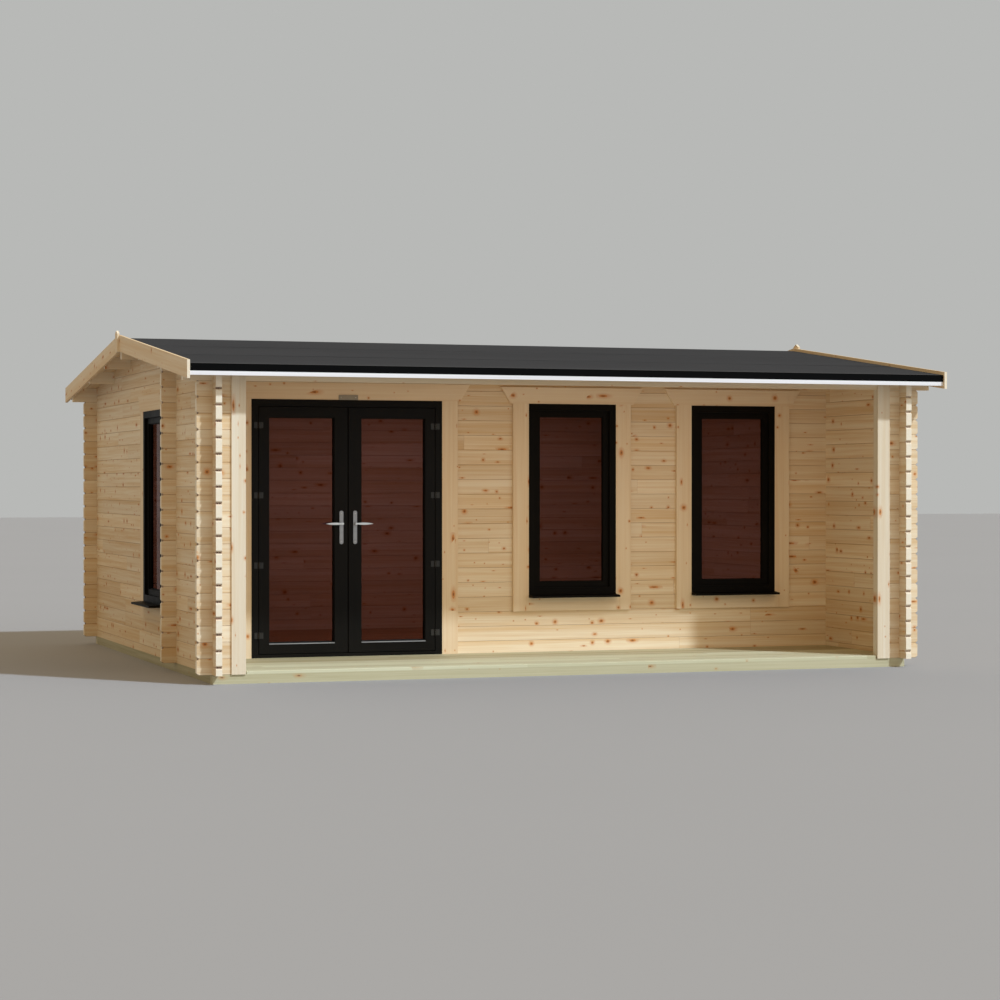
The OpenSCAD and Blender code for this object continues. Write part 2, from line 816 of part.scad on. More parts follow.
module left_hinges() { leaf_hinges(-1); }
module right_hinges() { leaf_hinges(1); }

// Handle plates with round ends, on both faces of a leaf
module plates(s) {
    r = plate_w / 2;
    color(steel) at_side(s) for (y = [frame_y, leaf_back + plate_t])
        translate([-lever_set, y, lever_zz]) rotate([90, 0, 0]) linear_extrude(plate_t) difference() {
            union() {
                translate([-r, r - plate_drop]) square([plate_w, plate_h - plate_w]);
                for (z = [r - plate_drop, plate_h - plate_drop - r]) translate([0, z]) circle(r, $fn = 64);
            }
            circle(neck_r + fit, $fn = 48);
        }
}

module left_plates() { plates(-1); }
module right_plates() { plates(1); }

// Slim lever: the lens where two arcs cross, from the middle of the neck out to the tip
module lever_arm() {
    lens_l = lever_l + 2 * neck_r;
    lens_r = (lens_l * lens_l + lever_h * lever_h) / (4 * lever_h);
    rotate([90, 0, 0]) linear_extrude(lever_t) intersection() {
        translate([-lever_l - 1, -lever_h]) square([lever_l + 1, 2 * lever_h]);
        lens(lens_l, lens_r);
    }
}

module lens(lens_l, lens_r) {
    intersection_for(k = [-1, 1])
        translate([lens_l / 2 - lever_l, k * (lens_r - lever_h / 2)]) circle(lens_r, $fn = 180);
}

module levers(s) {
    out = plate_t + lever_off;
    color(steel) at_side(s) translate([-lever_set, 0, lever_zz]) {
        translate([0, frame_y - out + lever_t, 0]) lever_arm();
        translate([0, leaf_back + out, 0]) lever_arm();
        for (y = [frame_y, leaf_back + out]) translate([0, y, 0]) rotate([90, 0, 0])
            cylinder(r = neck_r, h = out, $fn = 48);
        translate([0, leaf_back + 1, 0]) rotate([90, 0, 0])
            cylinder(r = spindle_r, h = leaf_t + 2, $fn = 48);
    }
}

module left_lever() { levers(-1); }
module right_lever() { levers(1); }

side_bearers();
cross_bearers();
porch_deck();
room_floor();
front_wall_left();
front_wall_lower();
front_wall_piers();
front_wall_header();
back_wall();
left_gable_lower();
left_gable_front();
left_gable_rear();
left_gable_top();
right_gable_wall();
front_stubs();
porch_posts();
eave_purlins();
ridge_purlin();
roof_purlins();
front_roof_boards();
back_roof_boards();
front_felt();
back_felt();
fascia_boards();
drip_strips();
front_bargeboards();
back_bargeboards();
gable_finials();
door_jambs();
door_head();
door_threshold();
casing_uprights();
casing_boards();
cover_plate();
window_frames();
window_panes();
window_sills();
frame_hinges();
left_leaf();
right_leaf();
left_pane();
right_pane();
left_hinges();
right_hinges();
left_plates();
right_plates();
left_lever();
right_lever();
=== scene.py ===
"""Finishes and fine pieces for a log cabin with a porch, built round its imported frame."""

import math

import bmesh
import bpy
from bpy.props import FloatProperty, FloatVectorProperty, IntProperty, PointerProperty
from bpy.types import Operator, Panel, PropertyGroup
from mathutils import Matrix, Vector


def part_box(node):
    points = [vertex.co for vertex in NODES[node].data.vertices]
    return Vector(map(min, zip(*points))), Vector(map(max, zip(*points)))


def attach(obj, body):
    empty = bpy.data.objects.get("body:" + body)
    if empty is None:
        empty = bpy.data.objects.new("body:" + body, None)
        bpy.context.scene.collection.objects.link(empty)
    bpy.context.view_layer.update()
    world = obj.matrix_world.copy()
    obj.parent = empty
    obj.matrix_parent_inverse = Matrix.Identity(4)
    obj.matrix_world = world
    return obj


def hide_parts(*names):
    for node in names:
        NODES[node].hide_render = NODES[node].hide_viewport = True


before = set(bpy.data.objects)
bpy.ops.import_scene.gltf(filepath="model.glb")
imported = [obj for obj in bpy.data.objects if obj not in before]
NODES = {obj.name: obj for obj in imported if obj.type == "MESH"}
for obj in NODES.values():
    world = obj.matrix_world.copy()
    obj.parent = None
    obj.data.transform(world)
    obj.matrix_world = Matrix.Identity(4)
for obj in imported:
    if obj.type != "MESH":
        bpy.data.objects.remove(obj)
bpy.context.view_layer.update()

bl_info = {
    "name": "Log Cabin Finishes",
    "version": (1, 0, 0),
    "blender": (4, 5, 0),
    "location": "View3D > Sidebar > Log Cabin",
    "description": "Timber, felt, glass and board work for a log cabin with a porch",
    "category": "Object",
}

# Places in the frame that finishes, boards and beads follow, in metres
PITCH = math.radians(6.9)  # of the roof
SLOPE = math.tan(PITCH)
COURSE = 0.112  # height of a log
CROSS_BASE, CROSS_TIP = 0.065, 2.760  # first joint and log tips of the walls along X
SIDE_BASE, SIDE_TIP = 0.121, 2.455  # the same for the walls along Y
POST, POST_GAP = 0.1, 0.009  # width of a porch post, and the room that the deck leaves it
EAVE_HIGHLIGHT = (2.535, 2.556)  # where a painted highlight runs along the felt's top before it turns down
EAVE_TURN = (2.5655, 2.5659)  # where the felt's outer face turns down
FELT_REACH = (1.74, 0.86)  # how far the upper felt sheets come down from the ridge
REBATE = 0.012  # how far a pane sits in its frame
SIGHT_WIDTH, SIGHT_HEIGHT = 0.521, 1.270  # the part of a window pane that shows
FRONT_WINDOWS_X = (0.435, 1.788)
SIDE_WINDOW_Y = -0.322
SIDE_DROP = 0.056  # the side window stands half a course lower


def ink(red, green, blue):
    """A colour picked on a screen, as the linear values that shaders use."""
    return tuple(
        (c / 255 / 12.92) if c <= 10 else ((c / 255 + 0.055) / 1.055) ** 2.4
        for c in (red, green, blue)
    )


def colour(name, text, default):
    """A colour that the panel shows."""
    return FloatVectorProperty(
        name=name, description=text, default=default, size=3, min=0, max=1, subtype="COLOR"
    )


def length(name, text, default):
    """A length that the panel shows."""
    return FloatProperty(
        name=name, description=text, default=default, unit="LENGTH", subtype="DISTANCE"
    )


class CabinColours(PropertyGroup):
    """Colours of the cabin's timbers, roof, frames and metal."""

    pine_light: colour("Pine, early wood", "Pale wood of logs and boards", ink(240, 227, 202))
    pine_dark: colour("Pine, late wood", "Darker streaks of the pine", ink(222, 192, 148))
    # Partly painted light: the posts get a paler copy of the pine, so that their sunlit fronts
    # look like lit wood
    post_light: colour("Posts, early wood", "Pale wood of the planed posts", ink(235, 226, 208))
    post_dark: colour("Posts, late wood", "Darker streaks of the posts", ink(224, 208, 181))
    knot: colour("Knot", "Ring of a knot", ink(204, 132, 60))
    heart: colour("Knot heart", "Middle of a knot", ink(98, 44, 20))
    seam: colour("Seam", "Shade in the joints between logs", ink(146, 98, 58))
    notch: colour("Notch", "Shade in the cuts of the log tips", ink(104, 50, 30))
    end_grain: colour("End grain", "Sawn ends of the logs", ink(244, 239, 226))
    floor_pine: colour("Floor boards", "Boards of the room's floor", ink(184, 144, 102))
    treated_light: colour("Treated timber", "Pale green of the deck", ink(215, 215, 188))
    treated_dark: colour("Treated streaks", "Darker streaks of the deck", ink(196, 194, 162))
    bearer_light: colour("Bearers", "Grey-green of the side bearers", ink(178, 174, 146))
    bearer_dark: colour("Bearer streaks", "Darker streaks of the bearers", ink(150, 146, 116))
    felt: colour("Roofing felt", "Mineral felt of the roof", ink(53, 53, 55))
    # Painted highlight: the pale line along the felt's top at the eaves
    felt_highlight: colour("Worn felt", "Pale line of the felt at the eaves", ink(128, 128, 130))
    trim: colour("Drip strip", "White strip under the felt", ink(238, 240, 247))
    frames: colour("Frames", "Black door and window frames", ink(18, 16, 13))
    glass: colour("Tinted glass", "Red-brown tint of the panes", ink(136, 106, 116))
    steel: colour("Handles", "Satin steel of levers and screws", ink(224, 222, 218))
    plate: colour("Handle plates", "Satin grey of plates and glass strips", ink(160, 161, 164))
    hinge: colour("Hinges", "Grey metal of the hinges", ink(60, 58, 55))
    cover: colour("Cover plate", "Grey plate over the door", ink(150, 144, 130))


class CabinSizes(PropertyGroup):
    """Sizes of the pieces that are added to the frame."""

    deck_board: length("Deck board", "Width of a deck board with its gap", 0.1)
    deck_gap: length("Deck gap", "Gap between two deck boards", 0.003)
    # Painted shade: this many deck boards next to the main wall are drawn darker, for shade under
    # the porch roof
    shaded_boards: IntProperty(
        name="Sheltered boards", description="Darker deck boards next to the main wall", default=5
    )
    floor_board: length("Floor board", "Width of a floor board", 0.112)
    floor_joint: length("Floor joint", "Chamfer along the edge of a floor board", 0.0015)
    roof_board: length("Roof board", "Width of a roof board", 0.1142)
    joint: length("Board joint", "Chamfer along the edge of a board", 0.003)
    bead: length("Glazing bead", "Face width of a glazing bead", 0.006)
    bead_depth: length("Bead depth", "How far a bead stands off the glass", 0.010)
    inner_bead: length("Inner bead", "How far the room's beads stand off the glass", 0.014)
    strip: length("Glass strip", "How far the strip under a door pane stands out", 0.004)
    strip_height: length("Strip height", "Height of the strip under a door pane", 0.007)
    strip_gap: length("Strip gap", "Gap between the strip and the pane", 0.003)
    seal: length("Meeting seal", "How far a seal reaches between the leaves", 0.004)
    seal_depth: length("Seal depth", "Depth of a meeting seal", 0.010)
    easing: length("Easing", "Chamfer on strips and seals", 0.001)
    felt_sheet: length("Felt sheet", "Thickness of a lapped felt sheet", 0.0005)
    felt_inset: length("Felt inset", "What a lapped sheet is narrower than the roof", 0.004)
    plate_screw: length("Plate screws", "Screws to the end of a handle plate", 0.020)
    cover_screw: length("Cover screws", "Screws to the end of the cover plate", 0.018)


class CabinStage(PropertyGroup):
    """Floor, light and camera round the cabin."""

    floor: colour("Floor", "Plain pale floor", ink(163, 165, 170))
    backdrop: colour("Backdrop", "Plain pale surround", ink(184, 185, 183))
    sun: FloatProperty(name="Sun", description="Strength of the key light", default=2.66)
    fill: FloatProperty(name="Fill", description="Strength of the soft front light", default=0.42)
    sun_colour: colour("Sun colour", "Cool white of the key and front light", (0.79, 0.9, 1.0))
    bounce: FloatProperty(
        name="Bounce", description="Warm light thrown back into the porch", default=5.6,
        unit="POWER",
    )
    bounce_colour: colour("Bounce colour", "Tint of the porch light", (1.0, 0.64, 0.39))
    room: FloatProperty(
        name="Room", description="Light inside the room", default=26.0, unit="POWER"
    )
    room_colour: colour("Room colour", "Tint of the light in the room", (1.0, 0.94, 0.86))
    sky: FloatProperty(name="Sky", description="Strength of the light all round", default=0.57)
    sky_colour: colour("Sky colour", "Tint of the light all round", (1.0, 0.765, 0.47))
    lens: FloatProperty(name="Lens", description="Focal length", default=89.21, unit="CAMERA")
    yaw: FloatProperty(
        name="Yaw", description="Camera's turn to the right of straight on",
        default=math.radians(18.9), subtype="ANGLE",
    )
    dip: FloatProperty(
        name="Dip", description="Camera's tilt below level",
        default=math.radians(0.313), subtype="ANGLE",
    )
    place: FloatVectorProperty(
        name="Camera", description="Where the camera stands", size=3,
        default=(-6.2797, -19.0197, 1.3559), unit="LENGTH", subtype="TRANSLATION",
    )


def colours():
    return bpy.context.scene.cabin_colours


def sizes():
    return bpy.context.scene.cabin_sizes


def tint(value):
    """A colour as the four numbers of a colour socket."""
    return (value[0], value[1], value[2], 1.0)


class Bench:
    """A workbench for wiring one node tree."""

    def __init__(self, tree):
        self.tree = tree

    def put(self, socket, value):
        if isinstance(value, bpy.types.NodeSocket):
            self.tree.links.new(value, socket)
        else:
            socket.default_value = value

    def add(self, kind, inputs=None, **settings):
        name = kind if kind.startswith("NodeGroup") else "ShaderNode" + kind
        made = self.tree.nodes.new(name)
        for key, value in settings.items():
            setattr(made, key, value)
        for key, value in (inputs or {}).items():
            self.put(made.inputs[key], value)
        return made

    def math(self, operation, *values):
        made = self.add("Math", operation=operation)
        for socket, value in zip(made.inputs, values):
            self.put(socket, value)
        return made.outputs[0]

    def fade(self, value, low, high):
        """0 at low and 1 at high, with a soft change between; low may be the larger."""
        return self.add(
            "MapRange",
            {"Value": value, "From Min": low, "From Max": high},
            interpolation_type="SMOOTHSTEP",
        ).outputs["Result"]

    def mix(self, factor, first, second, blend="MIX"):
        made = self.add("Mix", data_type="RGBA", blend_type=blend)
        for number, value in ((0, factor), (6, first), (7, second)):
            self.put(made.inputs[number], value)
        return made.outputs[2]

    def split(self, vector):
        return self.add("SeparateXYZ", {"Vector": vector}).outputs

    def join(self, x, y, z):
        return self.add("CombineXYZ", {"X": x, "Y": y, "Z": z}).outputs[0]

    def noise(self, vector, scale=1.0, detail=2.0, rough=0.5):
        return self.add(
            "TexNoise",
            {"Vector": vector, "Scale": scale, "Detail": detail, "Roughness": rough},
        ).outputs["Fac"]

    def relief(self, shader, height, strength, distance):
        made = self.add("Bump", {"Height": height, "Strength": strength, "Distance": distance})
        self.put(shader.inputs["Normal"], made.outputs[0])

    def scaled(self, parts, factors):
        return self.join(*[self.math("MULTIPLY", p, f) for p, f in zip(parts, factors)])


def node_group(name, inputs, outputs):
    """A new shader group with its sockets, its bench and its two end nodes."""
    tree = bpy.data.node_groups.new(name, "ShaderNodeTree")
    for label, kind, default in inputs:
        socket = tree.interface.new_socket(
            name=label, in_out="INPUT", socket_type="NodeSocket" + kind
        )
        if default is not None:
            socket.default_value = default
    for label, kind in outputs:
        tree.interface.new_socket(
            name=label, in_out="OUTPUT", socket_type="NodeSocket" + kind
        )
    bench = Bench(tree)
    return bench, bench.add("NodeGroupInput").outputs, bench.add("NodeGroupOutput").inputs


def log_courses():
    """Which log a point is on: its seams, its tone and a shift for its grain."""
    name = "Log courses"
    if name in bpy.data.node_groups:
        return bpy.data.node_groups[name]
    b, source, out = node_group(
        name,
        [("Along", "Float", 0), ("Height", "Float", 0), ("Course", "Float", COURSE),
         ("Base", "Float", 0), ("Piece", "Float", 2.7)],
        [("Seam", "Float"), ("Joint", "Float"), ("Tone", "Float"), ("Shift", "Vector")],
    )
    above = b.math("SUBTRACT", source["Height"], source["Base"])
    level = b.math("DIVIDE", above, source["Course"])
    row = b.math("FLOOR", level)
    part = b.math("FRACT", level)
    to_joint = b.math(
        "MULTIPLY", b.math("MINIMUM", part, b.math("SUBTRACT", 1.0, part)), source["Course"]
    )
    start = b.add(
        "TexWhiteNoise", {"W": b.math("ADD", row, 0.37)}, noise_dimensions="1D"
    ).outputs["Value"]
    run = b.math(
        "DIVIDE", b.math("MULTIPLY_ADD", start, 9.7, source["Along"]), source["Piece"]
    )
    piece = b.math("FLOOR", run)
    share = b.math("FRACT", run)
    to_butt = b.math(
        "MULTIPLY", b.math("MINIMUM", share, b.math("SUBTRACT", 1.0, share)), source["Piece"]
    )
    chance = b.add(
        "TexWhiteNoise",
        {"Vector": b.join(b.math("ADD", row, 0.5), b.math("ADD", piece, 0.5), 0.0)},
        noise_dimensions="2D",
    )
    seam = b.fade(to_joint, 0.0030, 0.0010)
    butt = b.math("MULTIPLY", b.fade(to_butt, 0.0024, 0.0008), 0.6)
    b.put(out["Seam"], b.math("MAXIMUM", seam, butt))
    b.put(out["Joint"], to_joint)
    b.put(out["Tone"], chance.outputs["Value"])
    shift = b.add("VectorMath", {0: chance.outputs["Color"]}, operation="SCALE")
    shift.inputs["Scale"].default_value = 5.0
    b.put(out["Shift"], shift.outputs[0])
    return b.tree


def pine_figure():
    """Grain that runs along X, with knots that go through Y."""
    name = "Pine figure"
    if name in bpy.data.node_groups:
        return bpy.data.node_groups[name]
    b, source, out = node_group(
        name,
        [("Vector", "Vector", None), ("Knots", "Float", 0.26)],
        [("Grain", "Float"), ("Halo", "Float"), ("Knot", "Float"), ("Heart", "Float"),
         ("Height", "Float")],
    )
    x, y, z = b.split(source["Vector"])
    face = b.join(x, b.math("MULTIPLY_ADD", y, 0.3, z), 0.0)
    cells = b.add(
        "TexVoronoi", {"Vector": face, "Scale": 9.5, "Randomness": 1.0},
        voronoi_dimensions="2D", feature="F1",
    )
    chance, size, drawn = b.add("SeparateColor", {"Color": cells.outputs["Color"]}).outputs
    here = b.math("LESS_THAN", chance, source["Knots"])
    away = b.split(b.add(
        "VectorMath", {0: face, 1: cells.outputs["Position"]}, operation="SUBTRACT"
    ).outputs[0])
    longer = b.math("MULTIPLY_ADD", b.math("POWER", drawn, 3.0), 2.2, 1.0)
    oval = b.join(
        b.math("DIVIDE", away[0], longer),
        b.math("MULTIPLY", away[1], b.math("SQRT", longer)), 0.0,
    )
    apart = b.add("VectorMath", {0: oval}, operation="LENGTH").outputs["Value"]
    radius = b.math("MULTIPLY_ADD", b.math("POWER", size, 3.0), 0.013, 0.0042)
    wobble = b.math("MULTIPLY_ADD", b.noise(source["Vector"], 70.0, 2.0), 0.008, -0.0025)
    reach = b.math("DIVIDE", b.math("ADD", apart, wobble), radius)
    knot = b.math("MULTIPLY", here, b.fade(reach, 1.15, 0.9))
    heart = b.math("MULTIPLY", here, b.fade(reach, 0.7, 0.3))
    halo = b.math("MULTIPLY", here, b.fade(reach, 2.8, 0.9))
    bent = b.math("MULTIPLY_ADD", halo, 0.006, z)
    fine = b.noise(b.scaled((x, y, bent), (0.55, 26.0, 36.0)), 1.0, 4.0, 0.6)
    broad = b.noise(b.scaled((x, y, bent), (0.25, 5.0, 8.0)), 1.0, 2.0)
    hair = b.noise(b.scaled((x, y, bent), (2.4, 120.0, 170.0)), 1.0, 2.0)
    blend = b.math("MULTIPLY_ADD", broad, 0.35, b.math("MULTIPLY", fine, 0.45))
    grain = b.fade(b.math("MULTIPLY_ADD", hair, 0.2, blend), 0.36, 0.66)
    b.put(out["Grain"], grain)
    b.put(out["Halo"], halo)
    b.put(out["Knot"], knot)
    b.put(out["Heart"], heart)
    b.put(out["Height"], b.math("MULTIPLY_ADD", knot, -0.4, grain))
    return b.tree


def fine_speckle():
    """Small specks and wide clouds, for felt, paint, metal and glass."""
    name = "Fine speckle"
    if name in bpy.data.node_groups:
        return bpy.data.node_groups[name]
    b, source, out = node_group(
        name,
        [("Vector", "Vector", None), ("Specks", "Float", 300.0),
         ("Stretch", "Vector", (1, 1, 1))],
        [("Speck", "Float"), ("Cloud", "Float")],
    )
    drawn = b.add(
        "VectorMath", {0: source["Vector"], 1: source["Stretch"]}, operation="MULTIPLY"
    ).outputs[0]
    b.put(out["Speck"], b.noise(source["Vector"], source["Specks"], 3.0, 0.65))
    b.put(out["Cloud"], b.fade(b.noise(drawn, 1.0, 4.0, 0.6), 0.3, 0.7))
    return b.tree


def new_material(name):
    """A named material, its bench, its Principled shader and object coordinates."""
    material = bpy.data.materials.new(name)
    material.use_nodes = True
    bench = Bench(material.node_tree)
    shader = material.node_tree.nodes["Principled BSDF"]
    return material, bench, shader, bench.add("TexCoord").outputs


# Which axes are along the grain, through the piece and up its face; "round" is for level boards
# on walls both ways, where the grain turns to Y on faces that look along X
AXES = {
    "X": (0, 1, 2), "Y": (1, 0, 2), "Z": (2, 1, 0), "X flat": (0, 2, 1), "Y flat": (1, 2, 0),
    "round": (0, 1, 2),
}


def timber(name, along, light, dark, knots=0.52, base=None, course=COURSE, tilt=0.0, seed=0.0,
           wet=0.0, tip=None, mark=0.8, shade_from=None):
    """Wood whose grain runs along one axis; with a base it is laid in courses or boards.

    wet is how far a preservative hides the knots, tip is where logs end and show the cuts that
    mark shades, and past the last argument's line in Y the boards get painted shade, darker.
    """
    material, b, shader, coords = new_material(name)
    ink_of = colours()
    point = coords["Object"]
    if tilt:
        point = b.add("Mapping", {"Vector": point, "Rotation": (tilt, 0.0, 0.0)}).outputs[0]
    order = AXES[along]
    parts = b.split(point)
    run, deep, high = (parts[i] for i in order)
    ends = b.fade(b.math("ABSOLUTE", b.split(coords["Normal"])[order[0]]), 0.6, 0.8)
    if along == "round":
        run, deep = (
            b.math("MULTIPLY_ADD", ends, b.math("SUBTRACT", far, near), near)
            for near, far in ((run, deep), (deep, run))
        )
    vector = b.join(run, deep, high)
    tone = seam = None
    if base is None:
        vector = b.add("VectorMath", {0: vector, 1: (seed, seed * 0.7, seed * 1.3)},
                       operation="ADD").outputs[0]
    else:
        courses = b.add("Group", node_tree=log_courses())
        b.put(courses.inputs["Along"], b.math("ADD", run, seed))
        b.put(courses.inputs["Height"], high)
        b.put(courses.inputs["Base"], base)
        b.put(courses.inputs["Course"], course)
        tone, seam = courses.outputs["Tone"], courses.outputs["Seam"]
        vector = b.add("VectorMath", {0: vector, 1: courses.outputs["Shift"]},
                       operation="ADD").outputs[0]
    figure = b.add("Group", {"Vector": vector, "Knots": knots}, node_tree=pine_figure())
    wood = b.mix(figure.outputs["Grain"], tint(light), tint(dark))
    if tone:
        shade = b.mix(tone, (0.9, 0.87, 0.83, 1), (1.04, 1.05, 1.06, 1))
        wood = b.mix(1.0, wood, shade, "MULTIPLY")
    knot = [c * (1 - wet) + d * wet for c, d in zip(ink_of.knot, dark)]
    wood = b.mix(b.math("MULTIPLY", figure.outputs["Halo"], 0.42), wood, tint(knot))
    wood = b.mix(b.math("MULTIPLY", figure.outputs["Knot"], 0.8), wood, tint(knot))
    wood = b.mix(b.math("MULTIPLY", figure.outputs["Heart"], 0.7), wood, tint(ink_of.heart))
    rings = b.noise(b.scaled((run, deep, high), (6.0, 60.0, 60.0)), 1.0, 3.0)
    sawn = b.mix(rings, tint(ink_of.end_grain if not wet else light), tint(light))
    if along != "round":
        wood = b.mix(ends, wood, sawn)
    if seam and not wet:
        wood = b.mix(b.math("MULTIPLY", seam, 0.4), wood, tint(ink_of.seam))
    if tip:
        outer = b.fade(b.math("ABSOLUTE", run), tip - 0.016, tip - 0.011)
        cut = b.math("MULTIPLY", outer, b.fade(courses.outputs["Joint"], 0.0088, 0.0045))
        wood = b.mix(b.math("MULTIPLY", cut, mark), wood, tint(ink_of.notch))
    # Painted shade: deck boards past the line in Y, next to the main wall, are multiplied darker
    if shade_from:
        inner = b.fade(parts[1], shade_from - 0.004, shade_from + 0.004)
        wood = b.mix(inner, wood, (0.74, 0.68, 0.6, 1), "MULTIPLY")
    b.put(shader.inputs["Base Color"], wood)
    rough = b.math("MULTIPLY_ADD", figure.outputs["Grain"], 0.16, 0.54)
    b.put(shader.inputs["Roughness"], rough)
    shader.inputs["Specular IOR Level"].default_value = 0.3
    b.relief(shader, figure.outputs["Height"], 0.3, 0.0015)
    return material


def speckled(name, base, specks, stretch, spread, rough, metallic=0.0, bump=0.0003, gloss=0.5):
    """Paint or metal: one colour that drifts, with a fine tooth."""
    material, b, shader, coords = new_material(name)
    speckle = b.add(
        "Group", {"Vector": coords["Object"], "Specks": specks, "Stretch": stretch},
        node_tree=fine_speckle(),
    )
    low = tint([c * (1 - spread) for c in base])
    high = tint([min(1.0, c * (1 + spread)) for c in base])
    shade = b.mix(speckle.outputs["Cloud"], low, high)
    grit = b.mix(speckle.outputs["Speck"], (0.8, 0.8, 0.8, 1), (1.15, 1.15, 1.15, 1))
    b.put(shader.inputs["Base Color"], b.mix(spread, shade, grit, "MULTIPLY"))
    polish = b.math("MULTIPLY_ADD", speckle.outputs["Cloud"], rough[1] - rough[0], rough[0])
    b.put(shader.inputs["Roughness"], polish)
    shader.inputs["Metallic"].default_value = metallic
    shader.inputs["Specular IOR Level"].default_value = gloss
    b.relief(shader, speckle.outputs["Speck"], 0.35, bump)
    return material


def roofing_felt(name, base, pale):
    """Mineral felt: grit, streaks along the roof, a painted highlight along the eaves and a dark
    edge.
    """
    material, b, shader, coords = new_material(name)
    speckle = b.add(
        "Group",
        {"Vector": coords["Object"], "Specks": 420.0, "Stretch": (0.5, 1.6, 1.6)},
        node_tree=fine_speckle(),
    )
    low, high = tint([c * 0.93 for c in base]), tint([c * 1.08 for c in base])
    shade = b.mix(speckle.outputs["Cloud"], low, high)
    grit = b.mix(speckle.outputs["Speck"], (0.7, 0.7, 0.7, 1), (1.3, 1.3, 1.3, 1))
    shade = b.mix(0.5, shade, grit, "MULTIPLY")
    out = b.math("ABSOLUTE", b.split(coords["Object"])[1])
    up = b.fade(b.split(coords["Normal"])[2], 0.4, 0.8)
    # Painted highlight: a pale line on the up-facing felt just inside the eaves
    worn = b.math("MULTIPLY", b.math("MULTIPLY", b.fade(out, *EAVE_HIGHLIGHT), up), 0.55)
    shade = b.mix(worn, shade, tint(pale))
    turned = b.math("MULTIPLY", b.fade(out, *EAVE_TURN), b.math("SUBTRACT", 1.0, up))
    shade = b.mix(turned, shade, tint([c * 0.03 for c in base]))
    b.put(shader.inputs["Base Color"], shade)
    rough = b.math("MULTIPLY_ADD", speckle.outputs["Speck"], 0.2, 0.75)
    b.put(shader.inputs["Roughness"], rough)
    shader.inputs["Specular IOR Level"].default_value = 0.1
    b.relief(shader, speckle.outputs["Speck"], 0.5, 0.001)
    return material


def tinted_glass(name, base):
    """Sealed pane: clear glass with a red-brown tint that the room shows through."""
    material, b, shader, coords = new_material(name)
    speckle = b.add(
        "Group", {"Vector": coords["Object"], "Specks": 6.0, "Stretch": (0.6, 0.6, 0.9)},
        node_tree=fine_speckle(),
    )
    low, high = tint([c * 0.94 for c in base]), tint([c * 1.06 for c in base])
    b.put(shader.inputs["Base Color"], b.mix(speckle.outputs["Cloud"], low, high))
    shader.inputs["Roughness"].default_value = 0.0
    shader.inputs["IOR"].default_value = 1.06
    shader.inputs["Specular IOR Level"].default_value = 0.4
    shader.inputs["Transmission Weight"].default_value = 1.0
    return material


def paint(material, *names):
    """The material on every face of the named CAD nodes."""
    for name in names:
        mesh = NODES[name].data
        mesh.materials.clear()
        mesh.materials.append(material)


def piece(name, bm, body, slot, material, replaced=()):
    """A finished object from a bmesh, riding on a body."""
    mesh = bpy.data.meshes.new(name)
    bm.to_mesh(mesh)
    bm.free()
    mesh.materials.append(material)
    made = bpy.data.objects.new(name, mesh)
    bpy.context.scene.collection.objects.link(made)
    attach(made, body)
    if replaced:
        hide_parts(*replaced)


def board(bm, low, high, along, eased, chamfer):
    """A planed board between two corners, its long edges eased on the top or underside."""
    low, high = Vector(low), Vector(high)
    verts = bmesh.ops.create_cube(bm, size=1.0)["verts"]
    bmesh.ops.scale(bm, vec=high - low, verts=verts)
    bmesh.ops.translate(bm, vec=(low + high) / 2, verts=verts)
    level = high.z if eased == "top" else low.z
    edges = {e for v in verts for e in v.link_edges}
    long_edges = [
        e for e in edges
        if all(abs(v.co.z - level) < 1e-6 for v in e.verts)
        and abs(e.verts[0].co[along] - e.verts[1].co[along]) > 1e-6
    ]
    bmesh.ops.bevel(
        bm, geom=long_edges, offset=chamfer, segments=1, profile=0.5,
        affect="EDGES", material=-1,
    )


def ring(bm, width, height, face, depth, chamfer, matrix):
    """A mitred frame of beads round an opening, its inner front edge splayed."""
    w, h = width / 2, height
    corners = [bm.verts.new(c) for c in ((-w, 0, 0), (w, 0, 0), (w, 0, h), (-w, 0, h))]
    inner = bm.faces.new(corners)
    inner.normal_update()
    sides = bmesh.ops.inset_region(
        bm, faces=[inner], thickness=face, use_boundary=True, use_even_offset=True
    )["faces"]
    bmesh.ops.delete(bm, geom=[inner], context="FACES_ONLY")
    grown = bmesh.ops.extrude_face_region(bm, geom=sides)["geom"]
    front = [g for g in grown if isinstance(g, bmesh.types.BMVert)]
    bmesh.ops.translate(bm, vec=(0, -depth, 0), verts=front)
    lip = [
        e for e in {e for v in front for e in v.link_edges}
        if all(v in front and abs(v.co.x) < w - face / 2 and face / 2 < v.co.z < h - face / 2
               for v in e.verts)
    ]
    bmesh.ops.bevel(
        bm, geom=lip, offset=chamfer, segments=2, profile=0.5, affect="EDGES", material=-1
    )
    bmesh.ops.recalc_face_normals(bm, faces=bm.faces)
    bmesh.ops.transform(bm, matrix=matrix, verts=bm.verts)


def screw(bm, matrix, radius=0.004):
    """A countersunk head with a dished drive, facing +Z before it is placed."""
    head = bmesh.new()
    bmesh.ops.create_cone(
        head, cap_ends=True, segments=12, radius1=radius, radius2=radius * 0.8, depth=0.0012
    )
    top = max(head.faces, key=lambda f: f.calc_center_median().z)
    bmesh.ops.inset_region(head, faces=[top], thickness=radius * 0.4, depth=-0.0007)
    bmesh.ops.transform(head, matrix=matrix, verts=head.verts)
    loose = bpy.data.meshes.new("screw")
    head.to_mesh(loose)
    head.free()
    bm.from_mesh(loose)
    bpy.data.meshes.remove(loose)


